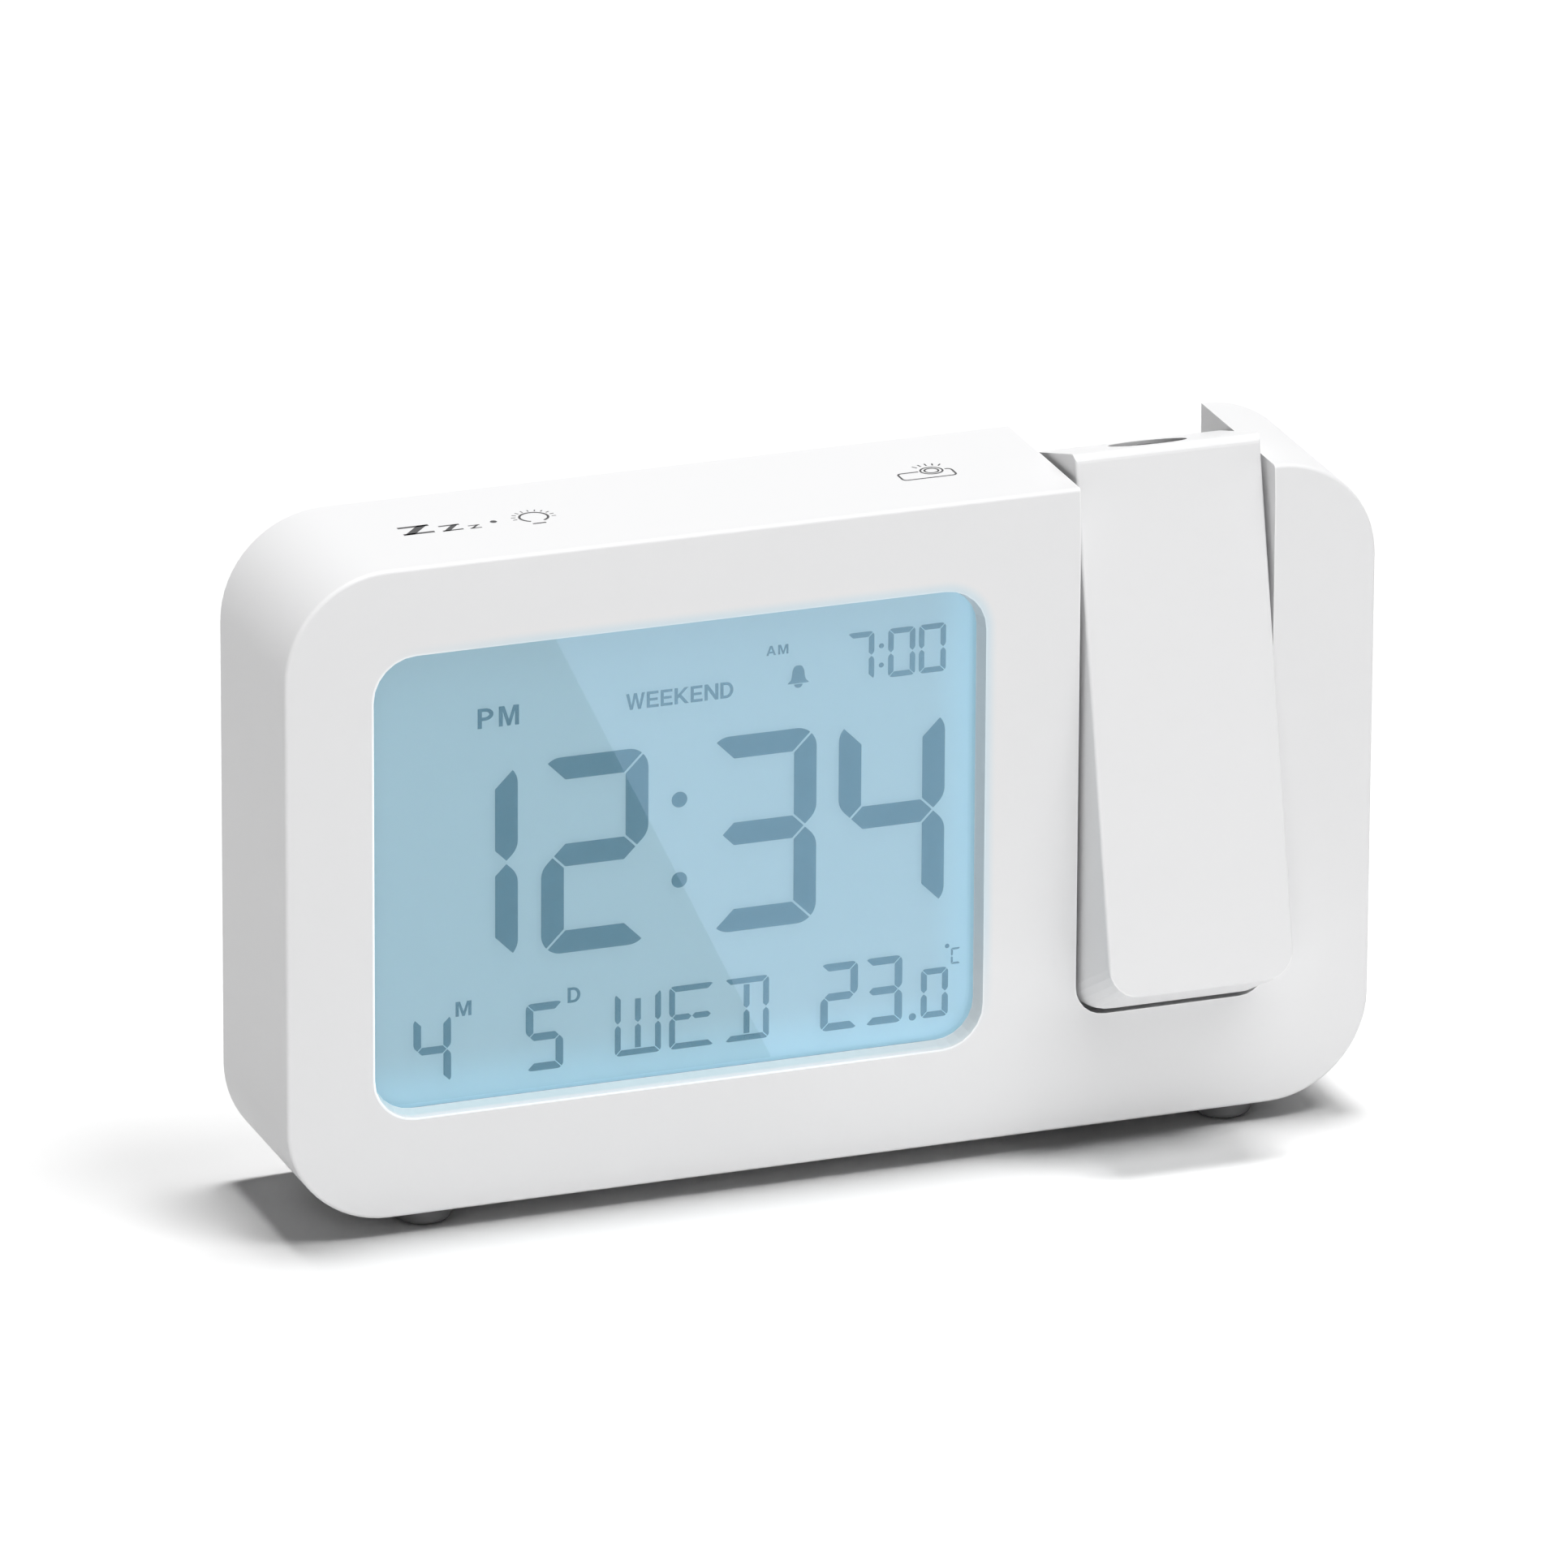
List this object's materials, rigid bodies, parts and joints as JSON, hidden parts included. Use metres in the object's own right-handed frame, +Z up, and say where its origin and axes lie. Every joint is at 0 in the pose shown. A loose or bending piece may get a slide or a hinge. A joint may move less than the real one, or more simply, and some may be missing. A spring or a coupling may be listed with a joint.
{
  "type": "projection alarm clock",
  "caption": "Slim white projection alarm clock: wide backlit display, projector arm hinged in a bay at the right, rear set keys, battery bay and rubber feet.",
  "frame": {"origin": "on the surface that the clock stands on, below the middle of its whole box at rest", "axes": "+X to the viewer's right along the display, +Y from the display to the back, +Z up"},
  "size_m": [0.142, 0.0356, 0.0896],
  "materials": {
    "white_case": "satin moulded ABS",
    "white_key": "satin moulded ABS, finer grain",
    "display_lens": "clear polished acrylic",
    "lcd": "backlit liquid crystal glass",
    "diffuser": "milky film",
    "light_guide": "clear acrylic",
    "frame_plastic": "moulded",
    "elastomer": "striped conductive rubber",
    "lamp": "cast epoxy",
    "board": "green solder mask",
    "chip": "black epoxy",
    "socket": "natural nylon",
    "copper": "foil",
    "switch_metal": "stamped",
    "switch_black": "moulded",
    "ribbon": "flat flexible lead",
    "sensor": "epoxy bead",
    "speaker": "moulded with film cone",
    "cell": "printed steel can, plain",
    "spring_steel": "nickel plated",
    "screw": "zinc plated",
    "foot_rubber": "grey moulded rubber",
    "bush": "acetal",
    "lead": "insulated",
    "optics_black": "black moulded",
    "optics_glass": "polished",
    "slide": "liquid crystal cell"
  },
  "bodies": {
    "housing": {"front_case": "white_case", "rear_cover": "white_case", "display_lens": "display_lens", "lcd_glass": "lcd", "diffuser_sheet": "diffuser", "light_guide": "light_guide", "lcd_frame": "frame_plastic", "elastomer_strip": "elastomer", "backlight_leds": "lamp", "main_board": "board", "controller_chip": "chip", "board_connectors": "socket", "touch_pads": "copper", "key_board": "board", "tact_switches": "switch_black", "slide_switch": "switch_metal", "key_ribbon": "ribbon", "speaker": "speaker", "temperature_sensor": "sensor", "dc_jack": "switch_black", "battery_cells": "cell", "battery_springs": "spring_steel", "battery_contacts": "spring_steel", "case_screws": "screw", "board_screws": "screw", "rubber_feet": "foot_rubber", "hinge_bushes": "bush", "projector_lead": "lead"},
    "arm": {"arm_front_cover": "white_case", "arm_rear_cover": "white_case", "hinge_tube": "spring_steel", "hinge_clip": "spring_steel", "arm_screws": "screw", "led_board": "board", "projector_led": "lamp", "condenser_lens": "optics_glass", "slide_lcd": "slide", "optics_tube": "optics_black", "arm_lead": "lead"},
    "focus_ring": {"focus_ring": "optics_black"},
    "lens_cell": {"lens_cell": "optics_black", "objective_lens": "optics_glass"},
    "battery_door": {"battery_door": "white_case"},
    "alarm_switch": {"alarm_switch_knob": "white_key"},
    "key_1": {"key_1": "white_key"},
    "key_2": {"key_2": "white_key"},
    "key_3": {"key_3": "white_key"},
    "key_4": {"key_4": "white_key"},
    "key_5": {"key_5": "white_key"},
    "key_6": {"key_6": "white_key"}
  },
  "joints": [
    {"name": "arm_hinge", "type": "hinge", "parent": "housing", "child": "arm", "pos_m": [0.0446, 0.00907, 0.0702], "axis": [-1, 0, 0], "range_deg": [-12.3, 77.7]},
    {"name": "focus_turn", "type": "hinge", "parent": "arm", "child": "focus_ring", "pos_m": [0.0446, 0.0035, 0.0883], "axis": [0, 0.213, 0.977], "range_deg": [-60, 60]},
    {"name": "lens_shift", "type": "slide", "parent": "arm", "child": "lens_cell", "axis": [0, 0.213, 0.977], "range_m": [-0.001, 0.001]},
    {"name": "door_swing", "type": "hinge", "parent": "housing", "child": "battery_door", "pos_m": [-0.02, 0.01777, 0.0133], "axis": [-1, 0, 0], "range_deg": [0, 55]},
    {"name": "alarm_slide", "type": "slide", "parent": "housing", "child": "alarm_switch", "axis": [1, 0, 0], "range_m": [0, 0.003]},
    {"name": "key_1_press", "type": "slide", "parent": "housing", "child": "key_1", "axis": [0, -1, 0], "range_m": [0, 0.0006], "stiffness_N_per_m": 400, "springref_m": -0.0002},
    {"name": "key_2_press", "type": "slide", "parent": "housing", "child": "key_2", "axis": [0, -1, 0], "range_m": [0, 0.0006], "stiffness_N_per_m": 400, "springref_m": -0.0002},
    {"name": "key_3_press", "type": "slide", "parent": "housing", "child": "key_3", "axis": [0, -1, 0], "range_m": [0, 0.0006], "stiffness_N_per_m": 400, "springref_m": -0.0002},
    {"name": "key_4_press", "type": "slide", "parent": "housing", "child": "key_4", "axis": [0, -1, 0], "range_m": [0, 0.0006], "stiffness_N_per_m": 400, "springref_m": -0.0002},
    {"name": "key_5_press", "type": "slide", "parent": "housing", "child": "key_5", "axis": [0, -1, 0], "range_m": [0, 0.0006], "stiffness_N_per_m": 400, "springref_m": -0.0002},
    {"name": "key_6_press", "type": "slide", "parent": "housing", "child": "key_6", "axis": [0, -1, 0], "range_m": [0, 0.0006], "stiffness_N_per_m": 400, "springref_m": -0.0002}
  ],
  "couplings": [
    {"joint": "focus_turn", "follows": "lens_shift", "rad_per_m": 1047.2}
  ]
}
